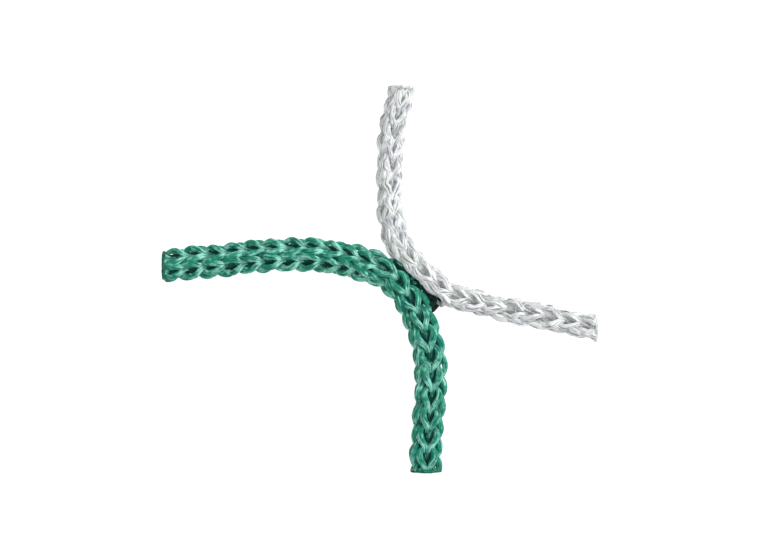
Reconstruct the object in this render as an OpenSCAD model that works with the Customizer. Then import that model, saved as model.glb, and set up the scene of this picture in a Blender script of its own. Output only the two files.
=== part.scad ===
/* [Cords] */
// Width of the green knitted cord, mm
green_w = 5; // [4.8:0.1:5]
// Width of the white knitted cord, which is knitted a little tighter, mm
white_w = 4.5; // [4:0.1:4.5]
// Play between neighbouring chains of one cord, mm
chain_gap = 0.12; // [0.06:0.02:0.2]

/* [Yarns] */
// Share of the hole between the four chains that the straight inlay yarn fills
inlay_fill = 0.85; // [0.5:0.05:0.9]
// Radius of each joining yarn in the seam between the cords, mm
joining_r = 0.25; // [0.12:0.01:0.28]

/* [Cut ends] */
// Length of the melted tip that seals each cut end, mm
tip_len = 1; // [0.6:0.1:1.5]

/* [Bending] */
// Play between a leg's round root and its socket in the joint, mm
hinge_gap = 0.2; // [0.16:0.02:0.3]

/* [Hidden] */
// Sides of each yarn's section: flats face down, up and to the neighbouring chains.
SIDES = 8;
half_side = 180 / SIDES;
// How far a leg's round root stands out past the cord's half width.
root_margin = 0.3;

GREEN = [0.16, 0.53, 0.42];
WHITE = [0.88, 0.89, 0.9];

// Half of the sample's cut size along X and Y.
sample_x = 38.8;
sample_y = 34.5;

// Routes of the cords' centre lines, in plan. A leg runs outward from its bend; its last point
// is on the line where the sample is cut.
green_left_route = [
    [-3.2, 2.6], [-5.6, 3.4], [-8.2, 3.9], [-11.1, 4.3], [-14.3, 4.4], [-17.9, 4.3],
    [-21.4, 4.1], [-25, 3.8], [-28.6, 3.3], [-32.1, 3], [-35.7, 2.6], [-sample_x, 2.3]
];
green_bottom_route = [
    [7.3, -7.8], [8.1, -10.4], [8.8, -13.2], [9.1, -16], [9.1, -19], [8.9, -22.2],
    [8.6, -25.3], [8.4, -28.4], [8.2, -31.4], [8.2, -sample_y]
];
white_top_route = [
    [2.6, 8], [2, 10.4], [1.7, 12.9], [1.6, 15.4], [1.6, 18], [1.8, 20.7],
    [1.9, 23.4], [2.1, 26.1], [2.6, 28.8], [3.2, 31.5], [3.9, sample_y]
];
white_right_route = [
    [12.8, -2.8], [15.4, -3.6], [18.2, -4.4], [21.4, -5.1], [25, -5.9], [28.6, -6.6],
    [32.1, -7.4], [35.6, -8.1], [sample_x, -8.8]
];
// Each joint route runs from one bend of its cord to the other.
green_joint_route = [[7.3, -7.8], [5, -3.8], [3.4, -1.8], [1.4, 0], [-3.2, 2.6]];
white_joint_route = [[12.8, -2.8], [8.5, 0.4], [6.8, 2], [5.1, 3.9], [2.6, 8]];

// Each leg: name, route, direction it is cut in, width, colour, and its neighbour in the joint.
LEGS = [
    ["green_left", green_left_route, [-1, 0], green_w, GREEN, green_joint_route[3]],
    ["green_bottom", green_bottom_route, [0, -1], green_w, GREEN, green_joint_route[1]],
    ["white_top", white_top_route, [0, 1], white_w, WHITE, white_joint_route[3]],
    ["white_right", white_right_route, [1, 0], white_w, WHITE, white_joint_route[1]]
];
// Each cord in the joint: name, route, the points next to its bends in its legs, width, colour.
JOINTS = [
    ["green_joint", green_joint_route, green_bottom_route[1], green_left_route[1], green_w, GREEN],
    ["white_joint", white_joint_route, white_right_route[1], white_top_route[1], white_w, WHITE]
];
// Places of the four chains in a cord: sideways and upward, in chain offsets.
CHAINS = [[1, 1], [-1, 1], [1, -1], [-1, -1]];
// Height of the seam between the cords, midway between their middles.
seam_z = (green_w + white_w) / 4;

// Distance from a chain's middle to its flats.
function chain_r(w) = (w - chain_gap) / 4;
// Distance of a chain's middle from the cord's, sideways and upward.
function chain_off(w) = chain_r(w) + chain_gap / 2;
function inlay_r(w) = inlay_fill * (chain_off(w) * sqrt(2) - chain_r(w));
// Radius of a leg's round root about its bend, and of the socket it turns in.
function root_r(w) = w / 2 + root_margin;
function socket_r(w) = root_r(w) + hinge_gap;

function unit(v) = v / norm(v);
function direction(route, i) = unit(route[i + 1] - route[i - 1]);
// The seam lies nearer to the narrower cord's middle.
function seam_point(i) =
    (green_joint_route[i] * white_w + white_joint_route[i] * green_w) / (green_w + white_w);

// Points of one section: p and t are the cord's place and direction in plan, across and up the
// section's middle, and bend_r moves the section off p along t, onto a cylinder about p.
function section(p, t, across, up, r, bend_r, side) = [
    for (j = [0:SIDES - 1])
        let (
            corner_r = r / cos(half_side),
            a = (2 * j + 1) * half_side,
            v = across + corner_r * cos(a),
            along = bend_r > 0 ? side * sqrt(bend_r * bend_r - v * v) : 0
        )
        [p.x + t.x * along - t.y * v, p.y + t.y * along + t.x * v, up + corner_r * sin(a)]
];
function middle(p, t, across, up, bend_r, side) =
    let (along = bend_r > 0 ? side * sqrt(bend_r * bend_r - across * across) : 0)
    [p.x + t.x * along - t.y * across, p.y + t.y * along + t.x * across, up];

// A closed tube through sections, with a fan of triangles at each end.
module tube(sections, first_middle, last_middle) {
    n = len(sections);
    first = n * SIDES;
    corners = [for (s = sections) for (q = s) q];
    walls = [
        for (i = [0:n - 2]) for (j = [0:SIDES - 1])
            let (k = (j + 1) % SIDES, a = i * SIDES)
            each [[a + j, a + SIDES + j, a + k], [a + k, a + SIDES + j, a + SIDES + k]]
    ];
    ends = [
        for (j = [0:SIDES - 1])
            let (k = (j + 1) % SIDES, b = (n - 1) * SIDES)
            each [[first, j, k], [first + 1, b + k, b + j]]
    ];
    polyhedron(
        points = concat(corners, [first_middle, last_middle]),
        faces = concat(walls, ends)
    );
}

// One yarn or chain of a leg, from its round root to where the tip seals it.
module leg_yarn(leg, across, up, r) {
    route = leg[1];
    last = len(route) - 1;
    t = unit(route[1] - leg[5]);
    root = root_r(leg[3]);
    stop = route[last] - leg[2] * tip_len;
    sections = concat(
        [section(route[0], t, across, up, r, root, -1)],
        [for (i = [1:last - 1]) section(route[i], direction(route, i), across, up, r, 0, 0)],
        [section(stop, leg[2], across, up, r, 0, 0)]
    );
    color(leg[4])
        tube(
            sections,
            middle(route[0], t, across, up, root, -1),
            middle(stop, leg[2], across, up, 0, 0)
        );
}

// One yarn or chain of a cord in the joint, from one socket to the other.
module joint_yarn(cord, across, up, r) {
    route = cord[1];
    last = len(route) - 1;
    t_first = unit(route[1] - cord[2]);
    t_last = unit(cord[3] - route[last - 1]);
    socket = socket_r(cord[4]);
    sections = concat(
        [section(route[0], t_first, across, up, r, socket, 1)],
        [for (i = [1:last - 1]) section(route[i], direction(route, i), across, up, r, 0, 0)],
        [section(route[last], t_last, across, up, r, socket, -1)]
    );
    color(cord[5])
        tube(
            sections,
            middle(route[0], t_first, across, up, socket, 1),
            middle(route[last], t_last, across, up, socket, -1)
        );
}

// A cord rests on the ground, so its middle is half its width up.
module leg_chain(leg, i) {
    off = chain_off(leg[3]);
    leg_yarn(leg, CHAINS[i][0] * off, leg[3] / 2 + CHAINS[i][1] * off, chain_r(leg[3]));
}

module leg_inlay(leg) {
    leg_yarn(leg, 0, leg[3] / 2, inlay_r(leg[3]));
}

// The melted tip is a round plug as wide as the cord, cut square to the sample's edge.
module leg_tip(leg) {
    end = leg[1][len(leg[1]) - 1];
    color(leg[4])
        translate([end.x, end.y, leg[3] / 2])
        rotate([0, 0, atan2(leg[2].y, leg[2].x)])
        rotate([0, -90, 0])
        cylinder(r = leg[3] / 2, h = tip_len, $fn = 64);
}

module joint_chain(cord, i) {
    off = chain_off(cord[4]);
    joint_yarn(cord, CHAINS[i][0] * off, cord[4] / 2 + CHAINS[i][1] * off, chain_r(cord[4]));
}

module joint_inlay(cord) {
    joint_yarn(cord, 0, cord[4] / 2, inlay_r(cord[4]));
}

// A yarn that laces the two cords together, in the seam midway between them.
module joining_yarn(height, tint) {
    seam = [for (i = [1:3]) seam_point(i)];
    t = unit(seam[2] - seam[0]);
    sections = [for (p = seam) section(p, t, 0, height, joining_r, 0, 0)];
    color(tint)
        tube(sections, middle(seam[0], t, 0, height, 0, 0), middle(seam[2], t, 0, height, 0, 0));
}

for (leg = LEGS) {
    for (i = [0:3])
        leg_chain(leg, i);
    leg_inlay(leg);
    leg_tip(leg);
}
for (cord = JOINTS) {
    for (i = [0:3])
        joint_chain(cord, i);
    joint_inlay(cord);
}
joining_yarn(seam_z + joining_r, GREEN);  // green_joining_yarn
joining_yarn(seam_z - joining_r, WHITE);  // white_joining_yarn
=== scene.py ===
"""Looks of a junction in two-tone knotless sports netting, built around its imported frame.

Each cord is four knitted chains around a straight inlay yarn. A chain is one multifilament yarn
that is looped through itself, and here it is modelled loop by loop along the cord's route.
"""

import math

import bpy
import numpy as np
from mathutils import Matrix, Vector


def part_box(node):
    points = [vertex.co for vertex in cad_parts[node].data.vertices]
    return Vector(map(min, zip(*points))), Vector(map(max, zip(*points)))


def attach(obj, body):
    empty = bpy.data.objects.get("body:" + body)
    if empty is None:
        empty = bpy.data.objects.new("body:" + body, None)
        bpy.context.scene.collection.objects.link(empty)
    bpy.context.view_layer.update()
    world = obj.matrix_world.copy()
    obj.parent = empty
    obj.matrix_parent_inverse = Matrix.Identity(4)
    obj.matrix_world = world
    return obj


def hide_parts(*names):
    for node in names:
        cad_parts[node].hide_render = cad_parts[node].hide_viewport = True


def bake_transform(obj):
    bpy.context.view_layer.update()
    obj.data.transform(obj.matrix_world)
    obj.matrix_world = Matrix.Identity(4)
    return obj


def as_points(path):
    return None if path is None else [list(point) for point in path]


bl_info = {
    "name": "Knotless Net Junction",
    "version": (1, 0, 0),
    "blender": (4, 5, 0),
    "location": "View3D > Sidebar > Net",
    "description": "Models the knitted cords of a net junction around its frame",
    "category": "Object",
}

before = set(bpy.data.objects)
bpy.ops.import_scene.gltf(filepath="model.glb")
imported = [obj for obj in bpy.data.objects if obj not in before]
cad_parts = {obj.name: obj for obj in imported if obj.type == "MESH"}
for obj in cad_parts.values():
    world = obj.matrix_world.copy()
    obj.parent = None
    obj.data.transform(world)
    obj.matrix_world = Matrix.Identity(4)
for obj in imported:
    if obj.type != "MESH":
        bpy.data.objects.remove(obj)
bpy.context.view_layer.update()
MM = 0.001

# ---------------------------------------------------------------- cords and their routes

# Routes of the cords' centre lines in plan, in millimetres, in the direction they are knitted.
GREEN_BOTTOM_ROUTE = [
    (8.2, -34.5), (8.2, -31.4), (8.4, -28.4), (8.6, -25.3), (8.9, -22.2), (9.1, -19),
    (9.1, -16), (8.8, -13.2), (8.1, -10.4), (7.3, -7.8),
]
GREEN_JOINT_ROUTE = [(5, -3.8), (3.4, -1.8), (1.7, 0.35)]
GREEN_LEFT_ROUTE = [
    (-3.2, 2.6), (-5.6, 3.4), (-8.2, 3.9), (-11.1, 4.3), (-14.3, 4.4), (-17.9, 4.3),
    (-21.4, 4.1), (-25, 3.8), (-28.6, 3.3), (-32.1, 3), (-35.7, 2.6), (-38.8, 2.3),
]
WHITE_RIGHT_ROUTE = [
    (38.8, -8.8), (35.6, -8.1), (32.1, -7.4), (28.6, -6.6), (25, -5.9), (21.4, -5.1),
    (18.2, -4.4), (15.4, -3.6), (12.8, -2.8),
]
WHITE_JOINT_ROUTE = [(8.5, 0.4), (6.8, 2), (5.1, 3.9)]
WHITE_TOP_ROUTE = [
    (2.6, 8), (2, 10.4), (1.7, 12.9), (1.6, 15.4), (1.6, 18), (1.8, 20.7),
    (1.9, 23.4), (2.1, 26.1), (2.6, 28.8), (3.2, 31.5), (3.9, 34.5),
]
# The seam where the cords lie side by side, on to where they part.
SEAM_ROUTE = [(2.3, 3.1), (3.4, 2.1), (4.8, 0.9), (6.1, -0.35), (7.2, -1.3), (8.1, -2.1)]
# The corners of the wedge between the cords past their seam: where it opens, then its far side.
WEDGE = [(7.5, -1.6), (10.5, -3.5), (9.4, -5.6)]
TIP_LENGTH = 1.0 * MM
# How far short of its cut end a leg's yarns stop, and its straight inlay, in tip lengths.
YARN_INSET = 0.45
INLAY_INSET = 0.6
INLAY_POINTS = 90
ROUTE_STEP = 0.1 * MM
# How far either way from the joint's middle the cords' press and lift fade away.
PRESS_REACH = 4.5 * MM
# How far before and after a leg's hinge lie the two places that each leg piece works out; nothing uses
# them.
BLEND_BEFORE = 4.5 * MM
BLEND_AFTER = 5.5 * MM
# Where a cord's changing values are given, in shares of its length: its first end, either side of
# the joint, and its last end.
STATIONS = np.array([0.0, 0.43, 0.63, 1.0])


class Cord:
    """A cord's smooth centre line, and places around it."""

    def __init__(self, width, routes, turn, square, broad, press, lift):
        first_leg, joint_route, last_leg = routes
        self.width = width
        self.turn = turn
        self.square = square
        self.broad = broad
        points = np.array(first_leg + joint_route + last_leg, float) * MM
        self.hinges = (points[len(first_leg) - 1], points[-len(last_leg)])
        self.line = smooth_line(points)
        self.along = path_length(self.line)
        self.length = self.along[-1]
        self.middle = self.nearest(points[len(first_leg) + 1])
        heading = np.gradient(self.line, axis=0)
        heading /= np.linalg.norm(heading, axis=1)[:, None]
        self.heading = heading
        closeness = np.exp(-(((self.along - self.middle) / PRESS_REACH) ** 2))
        left = np.stack([-heading[:, 1], heading[:, 0]], axis=1)
        self.line = self.line + left * (press * closeness)[:, None]
        self.height = width / 2 + lift * closeness

    def nearest(self, point):
        """How far along the line its place nearest to a point is."""
        return self.along[np.argmin(np.linalg.norm(self.line - point, axis=1))]

    def centre(self, s):
        """Points on the centre line, and its heading there. The line runs straight on past its ends."""
        inside = np.clip(s, 0, self.length)
        x, y, z = (
            np.interp(inside, self.along, v)
            for v in (self.line[:, 0], self.line[:, 1], self.height)
        )
        hx, hy = (np.interp(inside, self.along, self.heading[:, i]) for i in (0, 1))
        size = np.hypot(hx, hy)
        hx, hy = hx / size, hy / size
        past = s - inside
        return np.stack([x + hx * past, y + hy * past, z], axis=-1), hx, hy

    def around(self, s, angle, radius):
        """Points round the centre line. Angle 0 is up, and grows to the left of the heading."""
        c, hx, hy = self.centre(s)
        a = angle + self.turn_at(s)
        a = a - self.squareness_at(s) * np.sin(2 * a)
        side = np.sin(a) * self.at(s, self.broad)
        out = np.stack([-hy * side, hx * side, np.cos(a)], axis=-1)
        return c + out * radius[..., None], out / np.linalg.norm(out, axis=-1)[..., None]

    def at(self, s, values):
        """A value which changes along the cord, from its values at the stations."""
        return np.interp(s, STATIONS * self.length, values)

    def turn_at(self, s):
        """How far the four chains have turned about the cord."""
        return self.at(s, np.radians(self.turn))

    def squareness_at(self, s):
        """How far the chains are pressed flat to the top and the bottom of the cord."""
        return self.at(s, self.square)


def path_length(points):
    """How far along a line each of its points is."""
    return np.concatenate([[0], np.cumsum(np.linalg.norm(np.diff(points, axis=0), axis=1))])


def smooth_line(points, step=ROUTE_STEP):
    """A smooth line of evenly spaced points through the route's points."""
    knots = path_length(points)
    gaps = np.diff(knots)
    slopes = np.gradient(points, knots, axis=0)
    fine = []
    for i, gap in enumerate(gaps):
        n = max(2, int(math.ceil(gap / step)))
        t = (np.arange(n) / n)[:, None]
        fine.append(hermite(points[i], points[i + 1], slopes[i] * gap, slopes[i + 1] * gap, t))
    fine.append(points[-1][None, :])
    return np.concatenate(fine)


def hermite(a, b, slope_a, slope_b, t):
    """A cubic between a and b with these slopes at its ends."""
    return (
        a * (2 * t**3 - 3 * t**2 + 1)
        + slope_a * (t**3 - 2 * t**2 + t)
        + b * (3 * t**2 - 2 * t**3)
        + slope_b * (t**3 - t**2)
    )


# ---------------------------------------------------------------- yarns

# One loop of a chain, up one leg and half across its head. Each row is how far along, in
# stitches; how far sideways, in shares of the leg's spread; how deep, about 0 at the cord's
# surface and 1 at the heads; how full the yarn is there; and how pale it is painted: a painted
# highlight about the loop's tip, where the yarn bends down, and a little less paleness along the
# legs and on the float.
HALF_LOOP = [
    (-0.30, 0.24, 0.74, 0.82, -0.1),
    (-0.16, 0.30, 0.52, 0.82, 0.3),
    (-0.02, 0.38, 0.24, 0.86, 0.6),
    (0.14, 0.62, -0.02, 1.00, 0.25),
    (0.34, 0.93, -0.20, 1.17, -0.15),
    (0.54, 1.12, -0.24, 1.20, -0.2),
    (0.74, 1.18, -0.06, 1.08, -0.15),
    (0.90, 1.12, 0.32, 0.88, -0.1),
    (1.04, 0.90, 0.76, 0.78, 0.0),
    (1.14, 0.50, 0.96, 0.72, 0.0),
]
HEAD = (1.18, 0.0, 1.02, 0.72, 0.0)
# The float on the cord's inside that carries the yarn on to the next loop.
FLOAT = [(0.26, 0.08, 1.20, 0.80, -0.2), (0.48, -0.08, 0.95, 0.84, -0.2)]
SAMPLES_PER_POINT = 2
# How far a loose yarn's loops stray: in place, in spread, sideways, in depth and in fullness.
LOOP_WOBBLE = (0.03, 0.08, 0.07, 0.05, 0.06)
# How far each of its control points strays on its own.
POINT_WOBBLE = 0.03
# How far inside the cord's surface a chain's front is, and how deep the chain is behind it, in
# thicknesses of its yarn.
FRONT_INSET = 0.62
CHAIN_DEPTH = 0.95
# How far out from a yarn's middle its strands lie, in shares of its half width and thickness, and
# how wide and thick its core is, in shares of its whole width and thickness.
STRAND_ORBIT = 0.74
CORE_SIZE = 0.74
# The strands' widths, added up, in widths of the yarn.
STRAND_COVER = 2.7
# No strand goes lower than this, because the cords lie on the ground.
GROUND_GAP = 0.03 * MM
# A strand's section: across it, then outward, in shares of its width and its thickness.
STRAND = np.array([(-0.32, 0.5), (0.32, 0.5), (0.5, -0.05), (0.3, -0.5), (-0.3, -0.5), (-0.5, -0.05)])


def loop_controls():
    """The control points of one whole loop and of the float that follows it."""
    up = [(a, -u, *rest) for a, u, *rest in HALF_LOOP]
    down = HALF_LOOP[::-1]
    return np.array(up + [HEAD] + down + FLOAT, float)


class Knit:
    """How a cord is knitted: its stitches' length, and its yarn's size and how loose it is."""

    def __init__(self, cord, pitches, tight, width, thickness, spread, strands, flat, loose):
        self.cord = cord
        self.pitches = pitches
        self.width = width
        self.thickness = thickness
        self.spread = spread
        self.strands = strands
        self.flat = flat
        self.loose = loose
        self.front = cord.width / 2 - thickness * FRONT_INSET
        self.back = self.front - thickness * CHAIN_DEPTH
        # Stitches are shorter, or longer, about one place.
        centre, reach, amount = tight
        about = np.exp(-(((cord.along - centre) / reach) ** 2))
        pitch = np.interp(cord.along, (0, cord.length), pitches) * (1 - amount * about)
        self.count = np.concatenate([[0], np.cumsum(np.diff(cord.along) / pitch[:-1])])

    def place(self, stitch):
        """How far along the cord a stitch number is. Numbers go on evenly past the ends."""
        s = np.interp(stitch, self.count, self.cord.along)
        s = np.where(stitch < 0, stitch * self.pitches[0], s)
        over = stitch - self.count[-1]
        return np.where(over > 0, self.cord.length + over * self.pitches[1], s)

    def stitch_at(self, s):
        """The stitch number at a place along the cord."""
        return np.interp(s, self.cord.along, self.count)


def chain_path(knit, angle, first, last, phase, rng):
    """The yarn's centre line through the loops first to last of the chain at this angle."""
    rows = []
    for k in range(first, last):
        c = loop_controls()
        place, spread, shift, depth, fullness = LOOP_WOBBLE * rng.normal(0, knit.loose, 5)
        c[:, 0] += k + phase + place
        c[:, 1] = c[:, 1] * (1 + spread) + shift
        c[:, 2] += depth
        c[:, 3] *= 1 + fullness
        rows.append(c)
    c = np.concatenate(rows)
    c[:, 1:4] += rng.normal(0, knit.loose, (len(c), 3)) * POINT_WOBBLE
    slopes = np.gradient(c, axis=0)
    fine = []
    for i in range(len(c) - 1):
        t = (np.arange(SAMPLES_PER_POINT) / SAMPLES_PER_POINT)[:, None]
        fine.append(hermite(c[i], c[i + 1], slopes[i], slopes[i + 1], t))
    c = np.concatenate(fine + [c[-1][None, :]])
    radius = knit.front - (knit.front - knit.back) * c[:, 2]
    s = knit.place(c[:, 0])
    point, out = knit.cord.around(s, angle + c[:, 1] * knit.spread / knit.front, radius)
    return point, out, c[:, 3], c[:, 2], c[:, 4]


def waves(along, count, low, high, rng):
    """A slow random wave for each strand, between about -1 and 1."""
    total = np.zeros((len(along), count))
    for share in (0.65, 0.45):
        length = rng.uniform(low, high, count)
        start = rng.uniform(0, 2 * np.pi, count)
        total += share * np.sin(2 * np.pi * along[:, None] / length + start)
    return total


def frames(point, out):
    """Directions across a line and away from what it lies on, at each of its points."""
    tangent = np.gradient(point, axis=0)
    tangent /= np.linalg.norm(tangent, axis=-1)[..., None]
    normal = out - tangent * np.sum(out * tangent, axis=-1)[..., None]
    normal /= np.linalg.norm(normal, axis=-1)[..., None]
    return np.cross(tangent, normal), normal


def yarn(name, point, out, width, thickness, depth, pale, strands, flat, loose, rng, twist=45.0):
    """A yarn along a line of points: flat strands which wander round an oval core."""
    n = len(point)
    across, normal = frames(point, out)
    along = path_length(point)
    wave = [waves(along, strands, 2 * MM, 8 * MM, rng) for _ in range(5)]
    a = 2 * np.pi * np.arange(strands) / strands + (along * twist)[:, None] + 0.22 * loose * wave[0]
    share = STRAND_ORBIT + 0.07 * loose * wave[1]
    roll = (0.30 * wave[2] + 0.15) * loose
    own_width = STRAND_COVER / strands * (1 + 0.22 * wave[3]) * width[:, None]
    own_thickness = np.full((n, strands), flat) * thickness[:, None]
    # Each strand's tint differs at random along it and from strand to strand, and pale adds the painted
    # highlight about the loops' tips.
    tint = 0.5 + 0.35 * wave[4] + rng.uniform(-0.25, 0.25, strands) + pale[:, None]
    # Painted shade: the deeper the yarn lies in the chain, the darker it is painted.
    shade = np.repeat(np.clip(depth * 0.75 - 0.1, 0, 0.8)[:, None], strands, axis=1)
    # The core is one more strand, in the middle.
    core = np.zeros((n, 1))
    a, share, roll, tint = (np.append(v, core, axis=1) for v in (a, share, roll, tint))
    # The core strand is painted in full shade, as the dark down between the strands.
    shade = np.append(shade, core + 1, axis=1)
    own_width = np.append(own_width, CORE_SIZE * width[:, None], axis=1)
    own_thickness = np.append(own_thickness, CORE_SIZE * thickness[:, None], axis=1)
    half_w, half_t = width[:, None] / 2, thickness[:, None] / 2
    across, normal = across[:, None, :], normal[:, None, :]
    sin, cos = np.sin(a)[..., None], np.cos(a)[..., None]
    half_w, half_t = half_w[..., None], half_t[..., None]
    centre = point[:, None, :] + (across * sin * half_w + normal * cos * half_t) * share[..., None]
    radial = across * sin * half_t + normal * cos * half_w
    radial /= np.linalg.norm(radial, axis=-1)[..., None]
    side = across * cos * half_w - normal * sin * half_t
    side /= np.linalg.norm(side, axis=-1)[..., None]
    c, s = np.cos(roll)[..., None], np.sin(roll)[..., None]
    radial, side = radial * c + side * s, side * c - radial * s
    return strand_mesh(name, centre, side, radial, own_width, own_thickness, tint, shade, rng)


def strand_mesh(name, centre, side, up, width, thickness, tint, shade, rng):
    """Flat strands as one mesh. The arrays hold a value for each ring of each strand."""
    n, strands = width.shape
    corners = len(STRAND)
    x = STRAND[:, 0] * width[..., None]
    y = STRAND[:, 1] * thickness[..., None]
    ring = centre[:, :, None, :] + side[:, :, None, :] * x[..., None] + up[:, :, None, :] * y[..., None]
    index = np.arange(n * strands * corners).reshape(n, strands, corners)
    following = np.roll(index, -1, axis=2)
    quads = np.stack([index[:-1], following[:-1], following[1:], index[1:]], axis=-1)
    faces = quads.reshape(-1, 4).tolist() + index[0, :, ::-1].tolist() + index[-1].tolist()
    ring[..., 2] = np.maximum(ring[..., 2], GROUND_GAP)
    mesh = bpy.data.meshes.new(name)
    mesh.from_pydata(ring.reshape(-1, 3).tolist(), [], faces)
    # Painted shade: each strand's underside, facing in, is painted darker than its top.
    all_shade = shade[..., None] + (0.5 - STRAND[:, 1]) * 0.35
    # Each strand's streaks start somewhere else.
    offset = rng.uniform(0, 50, strands)[None, :, None]
    along = np.stack([path_length(centre[:, i]) for i in range(strands)], axis=1)
    lie = [x / MM + offset, y / MM, np.broadcast_to(along[..., None] / MM, x.shape)]
    add_attribute(mesh, "tint", np.repeat(tint.ravel(), corners))
    add_attribute(mesh, "shade", all_shade.ravel())
    attribute = mesh.attributes.new("lie", "FLOAT_VECTOR", "POINT")
    attribute.data.foreach_set("vector", np.stack(lie, axis=-1).astype(np.float32).ravel())
    mesh.update()
    obj = bpy.data.objects.new(name, mesh)
    bpy.context.scene.collection.objects.link(obj)
    only(obj)
    bpy.ops.object.shade_smooth_by_angle(angle=math.radians(32))
    return obj


def stray_strands(name, paths, thickness, reach, count, rng):
    """Single strands that have come loose from the chains and stand a little off them."""
    rings = 18
    t = np.linspace(0, 1, rings)[:, None]
    centre, up = np.zeros((rings, count, 3)), np.zeros((rings, count, 3))
    for i in range(count):
        point, out = paths[rng.integers(len(paths))]
        start = rng.integers(0, len(point) - 60)
        length = rng.integers(14, 40)
        at = start + np.linspace(0, length, rings)
        index = np.arange(len(point))
        p = np.stack([np.interp(at, index, point[:, k]) for k in range(3)], axis=1)
        o = np.stack([np.interp(at, index, out[:, k]) for k in range(3)], axis=1)
        across, normal = frames(p, o)
        # Most strands arch off the yarn and come back to it; some end in the air.
        arch = np.sin(np.pi * t) if rng.random() < 0.65 else t**1.6
        lift = 0.42 * thickness + reach * rng.uniform(0.3, 1.0) * arch
        sway = rng.uniform(-1, 1) * reach * np.sin(np.pi * t)
        centre[:, i] = p + normal * lift + across * (sway + rng.uniform(-0.3, 0.3) * thickness)
        up[:, i] = normal
    side, up = zip(*(frames(centre[:, i], up[:, i]) for i in range(count)))
    side, up = np.stack(side, axis=1), np.stack(up, axis=1)
    taper = np.repeat(np.minimum(1, 4 * np.minimum(t, 1 - t) + 0.35), count, axis=1)
    width = taper * rng.uniform(0.09, 0.2, count) * MM
    tint = np.full((rings, count), 0.8)
    shade = np.tile(rng.uniform(-0.1, 0.5, count), (rings, 1))
    return strand_mesh(name, centre, side, up, width, taper * 0.05 * MM, tint, shade, rng)


def add_attribute(mesh, name, values):
    attribute = mesh.attributes.new(name, "FLOAT", "POINT")
    attribute.data.foreach_set("value", np.asarray(values, np.float32))


def only(obj):
    """Makes obj the one selected and active object."""
    bpy.ops.object.select_all(action="DESELECT")
    obj.select_set(True)
    bpy.context.view_layer.objects.active = obj


def cut(obj, point, normal):
    """Cuts off what lies beyond a plane, and closes the cut."""
    only(obj)
    bpy.ops.object.mode_set(mode="EDIT")
    bpy.ops.mesh.select_all(action="SELECT")
    bpy.ops.mesh.bisect(plane_co=point, plane_no=normal, use_fill=True, clear_outer=True)
    bpy.ops.object.mode_set(mode="OBJECT")


# ---------------------------------------------------------------- materials


class Nodes:
    """Builds a material's node tree."""

    def __init__(self, name):
        self.material = bpy.data.materials.new(name)
        self.material.use_nodes = True
        self.tree = self.material.node_tree
        self.shader = self.tree.nodes["Principled BSDF"]

    def add(self, kind, settings=None, sockets=None):
        """Adds a node, sets it up, and gives its sockets values or links."""
        node = self.tree.nodes.new(kind)
        for key, value in (settings or {}).items():
            setattr(node, key, value)
        for key, value in (sockets or {}).items():
            self.link(value, node.inputs[key])
        return node

    def link(self, value, socket):
        if isinstance(value, Value):
            self.tree.links.new(value.socket, socket)
        elif isinstance(value, bpy.types.NodeSocket):
            self.tree.links.new(value, socket)
        else:
            socket.default_value = value

    def attribute(self, name):
        return Value(self, self.add("ShaderNodeAttribute", {"attribute_name": name}).outputs["Fac"])

    def patches(self, scale, detail=2.0):
        """Soft patches, by place in the object."""
        place = self.add("ShaderNodeTexCoord").outputs["Object"]
        sockets = {"Vector": place, "Scale": scale, "Detail": detail}
        return Value(self, self.add("ShaderNodeTexNoise", sockets=sockets).outputs["Fac"])

    def streaks(self, scale, length):
        """Streaks along the yarn's strands, length times as long as they are wide."""
        lie = self.add("ShaderNodeAttribute", {"attribute_name": "lie"}).outputs["Vector"]
        sockets = {"Vector": lie, "Scale": (1, 1, 1 / length)}
        lie = self.add("ShaderNodeMapping", sockets=sockets).outputs["Vector"]
        sockets = {"Vector": lie, "Scale": scale, "Detail": 2.0}
        return Value(self, self.add("ShaderNodeTexNoise", sockets=sockets).outputs["Fac"])

    def mix(self, factor, a, b):
        """A colour between a and b. Colours are given as three numbers, or as another mix."""
        sockets = {"Factor": factor, 6: rgba(a), 7: rgba(b)}
        return self.add("ShaderNodeMix", {"data_type": "RGBA"}, sockets).outputs[2]


def rgba(colour):
    return colour if isinstance(colour, bpy.types.NodeSocket) else (*colour, 1)


class Value:
    """A number in a node tree. Sums on it add Math nodes."""

    def __init__(self, nodes, socket):
        self.nodes = nodes
        self.socket = socket

    def _math(self, operation, a, b, clamp=False):
        settings = {"operation": operation, "use_clamp": clamp}
        node = self.nodes.add("ShaderNodeMath", settings, {0: a, 1: b})
        return Value(self.nodes, node.outputs[0])

    def __add__(self, other):
        return self._math("ADD", self, other)

    __radd__ = __add__

    def __sub__(self, other):
        return self._math("SUBTRACT", self, other)

    def __rsub__(self, other):
        return self._math("SUBTRACT", other, self)

    def __mul__(self, other):
        return self._math("MULTIPLY", self, other)

    __rmul__ = __mul__

    def clamped(self):
        return self._math("ADD", self, 0.0, clamp=True)


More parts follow.
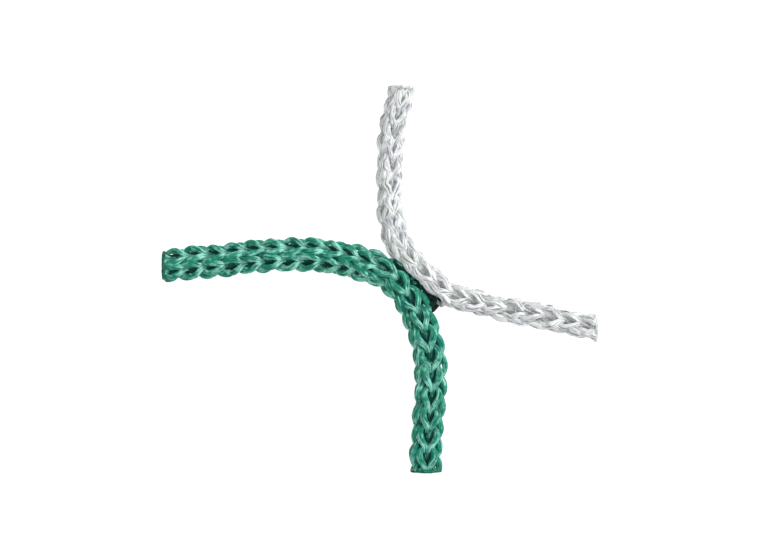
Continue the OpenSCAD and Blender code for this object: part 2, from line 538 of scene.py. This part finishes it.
def yarn_material(name, dark, mid, other, light, rough, gloss, contrast=1.6):
    """Shiny multifilament yarn, streaked along its strands, with painted sheen in its pale streaks and
    painted shade down between its strands.
    """
    n = Nodes(name)
    tint = n.attribute("tint")
    shade = n.attribute("shade")
    patch = n.patches(420.0)
    broad = n.streaks(3.4, 5.5)
    fine = n.streaks(22.0, 30.0)
    spots = n.patches(950.0, 1.0)
    body = n.mix((patch * 2.6 - 0.8).clamped(), mid, other)
    vary = (broad * 0.6 + spots * 0.75 - 0.675) * contrast
    # Pale streaks: partly the strands' own uneven tone, partly painted sheen, with the painted highlight
    # at the loops' tips carried in by the tint.
    lit = (tint + vary + fine * 1.2 - 0.88).clamped()
    colour = n.mix(lit, body, light)
    # Towards the shaded colour: painted shade where the shade attribute says, and darker patches at
    # random.
    low = (-0.05 - vary * 1.2).clamped()
    colour = n.mix((shade + low * 0.6).clamped(), colour, dark)
    n.link(colour, n.shader.inputs["Base Color"])
    n.link((fine * 0.2 + shade * 0.25 + rough - 0.1).clamped(), n.shader.inputs["Roughness"])
    bump = n.add("ShaderNodeBump", sockets={"Height": fine, "Strength": 0.5, "Distance": 0.00003})
    n.link(bump.outputs["Normal"], n.shader.inputs["Normal"])
    n.shader.inputs["Specular IOR Level"].default_value = gloss
    return n.material


# ---------------------------------------------------------------- settings

BODY = {
    "green_left": "green_left_leg",
    "green_bottom": "green_bottom_leg",
    "white_top": "white_top_leg",
    "white_right": "white_right_leg",
}
# Each leg's cord, and whether the cord is knitted away from its cut end.
LEGS = {
    "green_bottom": ("green", False),
    "green_left": ("green", True),
    "white_right": ("white", False),
    "white_top": ("white", True),
}
# The direction in which each leg's end is cut.
OUTWARD = {
    "green_left": Vector((-1, 0, 0)),
    "green_bottom": Vector((0, -1, 0)),
    "white_top": Vector((0, 1, 0)),
    "white_right": Vector((1, 0, 0)),
}
CHAIN_ANGLES = (-45, 45, 135, -135)
PHASES = {"green": (0.3, 0.45, 0.75, 0.9), "white": (0.07, 0.65, 0.3, 0.8)}


def length_property(name, description, default):
    return bpy.props.FloatProperty(name=name, description=description, default=default, unit="LENGTH")


def colour_property(name, description, default):
    return bpy.props.FloatVectorProperty(
        name=name, description=description, default=default, subtype="COLOR", size=3, min=0, max=1
    )


class NetCordSettings(bpy.types.PropertyGroup):
    """Sizes and colours of the knitted cords."""

    green_stitch_first: length_property(
        "Green Stitch, Bottom", "Length of a stitch at the green cord's bottom end", 3.62 * MM
    )
    green_stitch_last: length_property(
        "Green Stitch, Left", "Length of a stitch at the green cord's left end", 3.45 * MM
    )
    white_stitch_first: length_property(
        "White Stitch, Right", "Length of a stitch at the white cord's right end", 3.5 * MM
    )
    white_stitch_last: length_property(
        "White Stitch, Top", "Length of a stitch at the white cord's top end", 3.12 * MM
    )
    green_yarn_width: length_property("Green Yarn", "Width of the green cord's yarn", 1.04 * MM)
    white_yarn_width: length_property("White Yarn", "Width of the white cord's yarn", 1.14 * MM)
    # The shaded colours are painted shade, down between the strands and deep in the chains. The pale
    # colours are partly the strands' own tone and partly painted sheen.
    green_dark: colour_property(
        "Green, Shaded", "Green yarn down between its strands", (0.001, 0.06, 0.038)
    )
    green_mid: colour_property("Green", "Green yarn", (0.006, 0.24, 0.125))
    green_teal: colour_property(
        "Green, Bluer", "Bluer patches of the green yarn", (0.007, 0.21, 0.16)
    )
    green_pale_and_sheen: colour_property("Green, Pale", "Palest strands of the green yarn", (0.3, 0.72, 0.6))
    # The same for the white yarn: its shaded colour is painted shade, and its pale colour is partly its
    # own tone and partly painted sheen.
    white_dark: colour_property(
        "White, Shaded", "White yarn down between its strands", (0.26, 0.28, 0.27)
    )
    white_mid: colour_property("White", "White yarn", (0.64, 0.68, 0.64))
    white_lilac: colour_property(
        "White, Cooler", "Cooler patches of the white yarn", (0.63, 0.625, 0.69)
    )
    white_pale_and_sheen: colour_property("White, Pale", "Palest strands of the white yarn", (0.88, 0.89, 0.9))
    green_strays: bpy.props.IntProperty(
        name="Green Strays", description="Loose strands on each green leg", default=14, min=1
    )
    white_strays: bpy.props.IntProperty(
        name="White Strays", description="Loose strands on each white leg", default=70, min=1
    )


class NetStageSettings(bpy.types.PropertyGroup):
    """The floor and the lights."""

    frame_width: length_property("Frame Width", "Width that the camera sees at the cords", 135.7 * MM)
    floor: colour_property("Floor", "Colour of the floor", (0.6, 0.6, 0.59))
    key: bpy.props.FloatProperty(
        name="Key Light", description="Power of the light from the right", default=2.2, unit="POWER"
    )
    overhead: bpy.props.FloatProperty(
        name="Overhead Light", description="Power of the light from above", default=1.6, unit="POWER"
    )
    low: bpy.props.FloatProperty(
        name="Low Light", description="Power of the low light from the front", default=0.4, unit="POWER"
    )


def knits():
    """Both cords, and how each is knitted."""
    settings = bpy.context.scene.net_cords
    lo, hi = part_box("green_left_tip")
    green_width = hi.z - lo.z
    lo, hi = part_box("white_top_tip")
    white_width = hi.z - lo.z
    green = Cord(
        green_width, (GREEN_BOTTOM_ROUTE, GREEN_JOINT_ROUTE, GREEN_LEFT_ROUTE),
        turn=(42, 38, -2, -8), square=(0.03, 0.05, 0.24, 0.26), broad=(1.25, 1.26, 1.21, 1.17),
        press=-0.6 * MM, lift=0.0,
    )
    white = Cord(
        white_width, (WHITE_RIGHT_ROUTE, WHITE_JOINT_ROUTE, WHITE_TOP_ROUTE),
        turn=(40, 36, 28, 26), square=(0.03, 0.05, 0.08, 0.1), broad=(1.1, 1.04, 1.04, 1.06),
        press=0.05 * MM, lift=0.4 * MM,
    )
    green_tight = (green.nearest(np.array(GREEN_LEFT_ROUTE[1]) * MM), 4 * MM, 0.148)
    green_knit = Knit(
        green, (settings.green_stitch_first, settings.green_stitch_last), green_tight,
        width=settings.green_yarn_width, thickness=0.84 * MM, spread=1.0 * MM,
        strands=8, flat=0.3, loose=1.0,
    )
    white_knit = Knit(
        white, (settings.white_stitch_first, settings.white_stitch_last),
        (white.middle, 5 * MM, -0.2),
        width=settings.white_yarn_width, thickness=0.74 * MM, spread=1.06 * MM,
        strands=7, flat=0.26, loose=1.8,
    )
    return {"green": green_knit, "white": white_knit}


def half(knit, is_last):
    """The stretch of a cord in one half."""
    cord = knit.cord
    return (cord.middle, cord.length) if is_last else (0.0, cord.middle)


def leg_paths(leg):
    """The yarns' paths in the four chains of one half cord, each with its random numbers."""
    name, is_last = LEGS[leg]
    knit = knits()[name]
    middle_stitch = int(round(float(knit.stitch_at(knit.cord.middle))))
    first, last = (middle_stitch, int(knit.count[-1]) + 3) if is_last else (-3, middle_stitch)
    for i, angle in enumerate(CHAIN_ANGLES):
        rng = np.random.default_rng(100 * list(LEGS).index(leg) + i)
        yield chain_path(knit, math.radians(angle), first, last, PHASES[name][i], rng), rng


def finish_leg_piece(piece, leg, material, slot, *nodes):
    """Gives a piece its material, bakes its place into its mesh and hides the frame's parts for its
    nodes; the slot is not used.
    """
    name, is_last = LEGS[leg]
    cord = knits()[name].cord
    hinge = cord.hinges[1 if is_last else 0]
    s = cord.nearest(hinge)
    before, after = (s - BLEND_BEFORE, s + BLEND_AFTER)
    if not is_last:
        before, after = (s + BLEND_BEFORE, s - BLEND_AFTER)
    start = cord.centre(np.array(before))[0]
    end = cord.centre(np.array(after))[0]
    piece.data.materials.clear()
    piece.data.materials.append(material)
    tuple(start)
    tuple(end)
    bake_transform(piece)
    if nodes:
        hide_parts(*nodes)


def yarn_end(leg):
    """Where the yarns of a leg stop, inside its sealed end."""
    name, is_last = LEGS[leg]
    cord = knits()[name].cord
    s = cord.length if is_last else 0.0
    return Vector(cord.centre(np.array(s))[0]) - OUTWARD[leg] * TIP_LENGTH * YARN_INSET


def yarn_looks():
    """The materials of both cords' yarns, made once."""
    if "green_strands" not in bpy.data.materials:
        c = bpy.context.scene.net_cords
        greens = (c.green_dark, c.green_mid, c.green_teal, c.green_pale_and_sheen)
        whites = (c.white_dark, c.white_mid, c.white_lilac, c.white_pale_and_sheen)
        yarn_material("green_strands", *greens, 0.4, gloss=0.25, contrast=2.5)
        yarn_material("white_strands", *whites, 0.34, gloss=0.4, contrast=2.8)
    return {name: bpy.data.materials[f"{name}_strands"] for name in ("green", "white")}


class NET_OT_chains(bpy.types.Operator):
    """Knits the four chains of each cord, one half cord at a time"""

    bl_idname = "net.chains"
    bl_label = "Knit Chains"

    def execute(self, context):
        looks = yarn_looks()
        for leg, (name, _) in LEGS.items():
            knit = knits()[name]
            for i, ((path, out, full, depth, pale), rng) in enumerate(leg_paths(leg), 1):
                piece = yarn(
                    f"{leg}_knit_{i}", path, out, full * knit.width, full * knit.thickness, depth,
                    pale, knit.strands, knit.flat, knit.loose, rng,
                )
                cut(piece, yarn_end(leg), OUTWARD[leg])
                nodes = (f"{leg}_chain_{i}", f"{name}_joint_chain_{i}")
                finish_leg_piece(piece, leg, looks[name], f"{name}_yarn", *nodes)
        return {"FINISHED"}


class NET_OT_strays(bpy.types.Operator):
    """Adds the single strands that have worked loose on each leg"""

    bl_idname = "net.strays"
    bl_label = "Add Stray Strands"

    def execute(self, context):
        looks = yarn_looks()
        c = context.scene.net_cords
        counts = {"green": c.green_strays, "white": c.white_strays}
        reach = {"green": 0.12 * MM, "white": 0.34 * MM}
        for leg, (name, _) in LEGS.items():
            knit = knits()[name]
            paths = [path[:2] for path, _ in leg_paths(leg)]
            rng = np.random.default_rng(900 + list(LEGS).index(leg))
            piece = stray_strands(f"{leg}_strays", paths, knit.thickness, reach[name], counts[name], rng)
            cut(piece, yarn_end(leg), OUTWARD[leg])
            finish_leg_piece(piece, leg, looks[name], f"{name}_yarn")
        return {"FINISHED"}


class NET_OT_inlays(bpy.types.Operator):
    """Lays the straight inlay yarn in the middle of each half cord"""

    bl_idname = "net.inlays"
    bl_label = "Lay Inlays"

    def execute(self, context):
        # The inlays are coloured far darker than their yarns' own colour: painted shade for the holes
        # between the loops, where the inlay shows.
        looks = {
            "green": yarn_material(
                "green_core", (0.001, 0.02, 0.014), (0.003, 0.05, 0.034), (0.004, 0.05, 0.05),
                (0.01, 0.12, 0.09), 0.7, gloss=0.1,
            ),
            "white": yarn_material(
                "white_core", (0.22, 0.23, 0.22), (0.42, 0.45, 0.43), (0.42, 0.42, 0.46),
                (0.6, 0.62, 0.62), 0.6, gloss=0.2,
            ),
        }
        for leg, (name, is_last) in LEGS.items():
            knit = knits()[name]
            cord = knit.cord
            lo, hi = half(knit, is_last)
            if is_last:
                hi -= TIP_LENGTH * INLAY_INSET
            else:
                lo += TIP_LENGTH * INLAY_INSET
            rng = np.random.default_rng(7 + list(LEGS).index(leg))
            s = np.linspace(lo, hi, INLAY_POINTS)
            zero = np.zeros(INLAY_POINTS)
            point, out = cord.around(s, zero, zero)
            width = zero + knit.front * 2.2
            thick = zero + knit.front * 1.36
            depth, pale = zero + 0.2, zero
            piece = yarn(
                f"{leg}_core", point, out, width, thick, depth, pale, 14, 0.16, 0.6, rng, twist=15.0
            )
            nodes = (f"{leg}_inlay", f"{name}_joint_inlay")
            finish_leg_piece(piece, leg, looks[name], f"{name}_inlay", *nodes)
        return {"FINISHED"}


def melted_material(name, dark, light):
    """Yarn that was melted and has set: glassy, uneven and a little darker."""
    n = Nodes(name)
    n.link(n.mix((n.patches(1500.0) * 2.4 - 0.7).clamped(), dark, light), n.shader.inputs["Base Color"])
    lumps = n.patches(3200.0, 3.0)
    n.link((lumps * 0.4 + 0.12).clamped(), n.shader.inputs["Roughness"])
    bump = n.add("ShaderNodeBump", sockets={"Height": lumps, "Strength": 0.8, "Distance": 0.00008})
    n.link(bump.outputs["Normal"], n.shader.inputs["Normal"])
    n.shader.inputs["Specular IOR Level"].default_value = 0.3
    return n.material


def select_near(mesh, points, radius):
    """Selects the vertices that are near any of these points, and nothing else."""
    bpy.ops.mesh.select_mode(type="VERT")
    bpy.ops.mesh.select_all(action="DESELECT")
    bpy.ops.object.mode_set(mode="OBJECT")
    for v in mesh.vertices:
        v.select = any((v.co - p).length < radius for p in points)
    bpy.ops.object.mode_set(mode="EDIT")


def select_facing(mesh, direction):
    """Selects the faces that look this way, and nothing else."""
    bpy.ops.mesh.select_mode(type="FACE")
    bpy.ops.mesh.select_all(action="DESELECT")
    bpy.ops.object.mode_set(mode="OBJECT")
    for p in mesh.polygons:
        p.select = p.normal.dot(direction) > 0.9
    bpy.ops.object.mode_set(mode="EDIT")


# A sealed end's size, in shares of the tip it stands for, and how far it stands off the ground.
PLUG_SIZE = 1.02
PLUG_LENGTH = 0.75
PLUG_LIFT = 0.08 * MM
# How much wider than high it has spread, and how far it is drawn in between two chains.
PLUG_SPREAD = 0.12
PLUG_PINCH = 0.1
# Its cut face: how far each step goes in, in radii, and then along the cord, in lengths.
PLUG_FACE = ((0.16, 0.0), (0.26, -0.3), (0.28, -0.14))


def melted_end(leg, seed):
    """One sealed end: a short lobed plug, spread a little sideways, that closes the four chains."""
    name, is_last = LEGS[leg]
    cord = knits()[name].cord
    outward = OUTWARD[leg]
    lo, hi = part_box(f"{leg}_tip")
    centre = (lo + hi) / 2
    radius = (hi.z - lo.z) / 2 * PLUG_SIZE
    centre.z = lo.z + radius + PLUG_LIFT
    length = TIP_LENGTH * PLUG_LENGTH
    middle = centre + outward * (TIP_LENGTH - length) / 2
    bpy.ops.object.select_all(action="DESELECT")
    bpy.ops.mesh.primitive_cylinder_add(
        vertices=32, radius=radius, depth=length, location=middle,
        rotation=outward.to_track_quat("Z", "Y").to_euler(),
    )
    tip = bpy.context.object
    tip.name = tip.data.name = f"{leg}_sealed_end"
    bpy.ops.object.transform_apply(location=True, rotation=True, scale=True)
    bpy.ops.object.mode_set(mode="EDIT")
    wider = (1 + PLUG_SPREAD * abs(outward.y), 1 + PLUG_SPREAD * abs(outward.x), 1)
    bpy.ops.transform.resize(value=wider, center_override=middle)
    # The cut face has a rim, and is sunk in its middle.
    select_facing(tip.data, outward)
    for inset, shift in PLUG_FACE:
        bpy.ops.mesh.inset(thickness=radius * inset, depth=0)
        bpy.ops.transform.translate(value=outward * length * shift)
    # Between each two chains the plug is drawn in.
    s = np.array(cord.length if is_last else 0.0)
    flat = Vector([1 - PLUG_PINCH * (1 - abs(v)) for v in outward])
    for angle in (0, 90, 180, 270):
        point = Vector(cord.around(s, np.array(math.radians(angle)), np.array(radius))[0])
        point = point + outward * (middle - point).dot(outward)
        select_near(tip.data, [point], radius * 0.42)
        bpy.ops.transform.resize(value=flat, center_override=middle)
    bpy.ops.mesh.select_all(action="SELECT")
    bpy.ops.mesh.subdivide(number_cuts=1)
    bpy.ops.transform.vertex_random(offset=0.045 * MM, uniform=1.0, normal=0.0, seed=seed)
    bpy.ops.mesh.vertices_smooth(factor=0.4, repeat=1)
    bpy.ops.mesh.normals_make_consistent(inside=False)
    bpy.ops.object.mode_set(mode="OBJECT")
    smooth = tip.modifiers.new("smooth", "SUBSURF")
    smooth.levels = smooth.render_levels = 2
    bpy.ops.object.modifier_apply(modifier=smooth.name)
    bpy.ops.object.shade_smooth()
    return tip


class NET_OT_tips(bpy.types.Operator):
    """Seals each cut end with a lobed plug of melted yarn"""

    bl_idname = "net.tips"
    bl_label = "Seal Cut Ends"

    def execute(self, context):
        looks = {
            "green": melted_material("green_sealed", (0.001, 0.05, 0.03), (0.003, 0.16, 0.095)),
            "white": melted_material("white_sealed", (0.42, 0.44, 0.42), (0.74, 0.76, 0.76)),
        }
        for seed, (leg, (name, _)) in enumerate(LEGS.items()):
            tip = melted_end(leg, seed)
            tip.data.materials.append(looks[name])
            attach(tip, BODY[leg])
            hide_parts(f"{leg}_tip")
        return {"FINISHED"}


# Height of the green joining yarn along the seam, and how far and how often it winds, in
# millimetres and in radians a millimetre.
SEAM_HEIGHT = 3.6
SEAM_SWAY = 0.1
SEAM_RISE = 0.12
SEAM_TURNS = 3.7
# Its loop past the seam: the middle of it, and its radius.
LOOP_MIDDLE = (9.1, -3.8)
LOOP_RADIUS = 0.68


def lacing(name, points, size, look, node, seed):
    """A joining yarn through these points, on the junction."""
    line = smooth_line(np.array(points, float) * MM, 0.15 * MM)
    out = np.tile((0.0, 0.0, 1.0), (len(line), 1))
    rng = np.random.default_rng(seed)
    width = np.full(len(line), size)
    zero = np.zeros(len(line))
    piece = yarn(name, line, out, width, width * 0.8, zero, zero, 6, 0.3, 1.0, rng, twist=200.0)
    piece.data.materials.append(look)
    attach(piece, "junction")
    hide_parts(node)


class NET_OT_lacings(bpy.types.Operator):
    """Laces the two cords together along their seam"""

    bl_idname = "net.lacings"
    bl_label = "Lace Cords Together"

    def execute(self, context):
        # The green joining yarn is coloured near black: partly the yarn's own dark green, partly painted
        # shade for the dark seam between the cords.
        dark = yarn_material(
            "dark_lacing", (0.0, 0.006, 0.005), (0.001, 0.018, 0.014), (0.002, 0.02, 0.024),
            (0.004, 0.045, 0.038), 0.6, gloss=0.15,
        )
        pale = yarn_material(
            "pale_lacing", (0.2, 0.19, 0.17), (0.42, 0.4, 0.35), (0.38, 0.38, 0.36),
            (0.7, 0.68, 0.62), 0.4, gloss=0.5,
        )
        # Along the seam the green yarn winds a little from side to side.
        seam = smooth_line(np.array(SEAM_ROUTE, float), 0.4)
        along = path_length(seam)
        points = []
        for (x, y), t in zip(seam, along):
            sway = SEAM_SWAY * math.sin(t * SEAM_TURNS)
            rise = SEAM_RISE * math.cos(t * SEAM_TURNS)
            points.append((x + sway, y + sway, SEAM_HEIGHT + rise))
        # It crosses the wedge past the seam from side to side, and comes back up in a round loop.
        opening, right, left = (Vector(corner) for corner in WEDGE)
        for i in range(6):
            share = 0.2 + 0.16 * i
            ends = [opening.lerp(right, share), opening.lerp(left, share)]
            for end in ends if i % 2 else reversed(ends):
                points.append((end.x, end.y, 2.1 - 0.08 * i))
        for i in range(10):
            a = math.radians(-60 + 40 * i)
            x = LOOP_MIDDLE[0] + LOOP_RADIUS * math.cos(a)
            y = LOOP_MIDDLE[1] + LOOP_RADIUS * math.sin(a)
            points.append((x, y, 2.75 + 0.07 * i))
        lacing("green_lacing", points, 0.78 * MM, dark, "green_joining_yarn", 31)
        # The white yarn runs lower down, and turns up round the white cord's edge.
        points = [(x, y, 1.7) for x, y in SEAM_ROUTE[1:]]
        points += [(9.5, -3.3, 1.8), (10.5, -4.3, 2.5), (11.0, -4.75, 3.2), (11.25, -4.3, 3.8)]
        points += [(11.5, -3.6, 3.7), (11.9, -2.9, 3.0)]
        lacing("white_lacing", points, 0.6 * MM, pale, "white_joining_yarn", 32)
        return {"FINISHED"}


class NET_OT_cords(bpy.types.Operator):
    """Works out each half cord's centre line and its length, and keeps neither"""

    bl_idname = "net.cords"
    bl_label = "Declare Cords"

    def execute(self, context):
        for leg, (name, is_last) in LEGS.items():
            knit = knits()[name]
            cord = knit.cord
            s = np.linspace(*half(knit, is_last), 60)
            if not is_last:
                s = s[::-1]
            path = cord.centre(s)[0]
            length = float(path_length(path)[-1])
            tuple(path[0])
            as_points(path)
        return {"FINISHED"}


LENS = 100
SENSOR_WIDTH = 36
# The camera looks straight down over this place, and sees the frame's width at this height.
VIEW_Y = -0.18 * MM
FOCUS_HEIGHT = 2.5 * MM
# Each light: its name, which is also that of its power's setting, its place and its width, in
# metres.
LIGHTS = (
    ("key", (0.4, 0.26, 0.28), 0.12),
    ("overhead", (0.02, 0.04, 0.62), 0.16),
    ("low", (0.12, -0.4, 0.26), 0.12),
)


class NET_OT_stage(bpy.types.Operator):
    """Adds the pale floor, the soft lights and the camera"""

    bl_idname = "net.stage"
    bl_label = "Set Stage"

    def execute(self, context):
        scene = context.scene
        settings = scene.net_stage
        camera = bpy.data.objects.new("camera", bpy.data.cameras.new("camera"))
        scene.collection.objects.link(camera)
        camera.data.lens = LENS
        camera.data.sensor_width = SENSOR_WIDTH
        height = settings.frame_width * LENS / SENSOR_WIDTH
        camera.location = (0, VIEW_Y, height + FOCUS_HEIGHT)
        scene.camera = camera
        scene.view_settings.view_transform = "Standard"
        scene.view_settings.look = "None"

        bpy.ops.object.select_all(action="DESELECT")
        bpy.ops.mesh.primitive_plane_add(size=3, location=(0, 0, -0.02 * MM))
        floor = context.object
        floor.name = "floor"
        n = Nodes("floor")
        n.shader.inputs["Base Color"].default_value = (*settings.floor, 1)
        n.shader.inputs["Roughness"].default_value = 0.9
        n.shader.inputs["Emission Color"].default_value = (1.0, 1.0, 0.985, 1)
        n.shader.inputs["Emission Strength"].default_value = 0.75
        floor.data.materials.append(n.material)

        world = bpy.data.worlds.new("soft_room")
        scene.world = world
        world.use_nodes = True
        world.node_tree.nodes["Background"].inputs["Color"].default_value = (1, 1, 1, 1)
        world.node_tree.nodes["Background"].inputs["Strength"].default_value = 0.34

        for name, place, size in LIGHTS:
            light = bpy.data.objects.new(name, bpy.data.lights.new(name, "AREA"))
            light.data.energy = getattr(settings, name)
            light.data.size = size
            light.location = place
            light.rotation_euler = (-Vector(place)).to_track_quat("-Z", "Y").to_euler()
            scene.collection.objects.link(light)
        return {"FINISHED"}


class NET_PT_panel(bpy.types.Panel):
    """The net's steps, in order"""

    bl_label = "Net Junction"
    bl_idname = "NET_PT_panel"
    bl_space_type = "VIEW_3D"
    bl_region_type = "UI"
    bl_category = "Net"

    def draw(self, context):
        for group in (context.scene.net_cords, context.scene.net_stage):
            for name in type(group).__annotations__:
                self.layout.prop(group, name)
        for step in STEPS:
            self.layout.operator(step.bl_idname)


STEPS = (
    NET_OT_stage, NET_OT_chains, NET_OT_inlays, NET_OT_strays, NET_OT_tips, NET_OT_lacings, NET_OT_cords,
)
CLASSES = (NetCordSettings, NetStageSettings, *STEPS, NET_PT_panel)


def register():
    for cls in CLASSES:
        bpy.utils.register_class(cls)
    bpy.types.Scene.net_cords = bpy.props.PointerProperty(type=NetCordSettings)
    bpy.types.Scene.net_stage = bpy.props.PointerProperty(type=NetStageSettings)


def unregister():
    del bpy.types.Scene.net_cords
    del bpy.types.Scene.net_stage
    for cls in reversed(CLASSES):
        bpy.utils.unregister_class(cls)


def main():
    register()
    for step in STEPS:
        group, name = step.bl_idname.split(".")
        getattr(getattr(bpy.ops, group), name)()


if __name__ == "__main__":
    main()
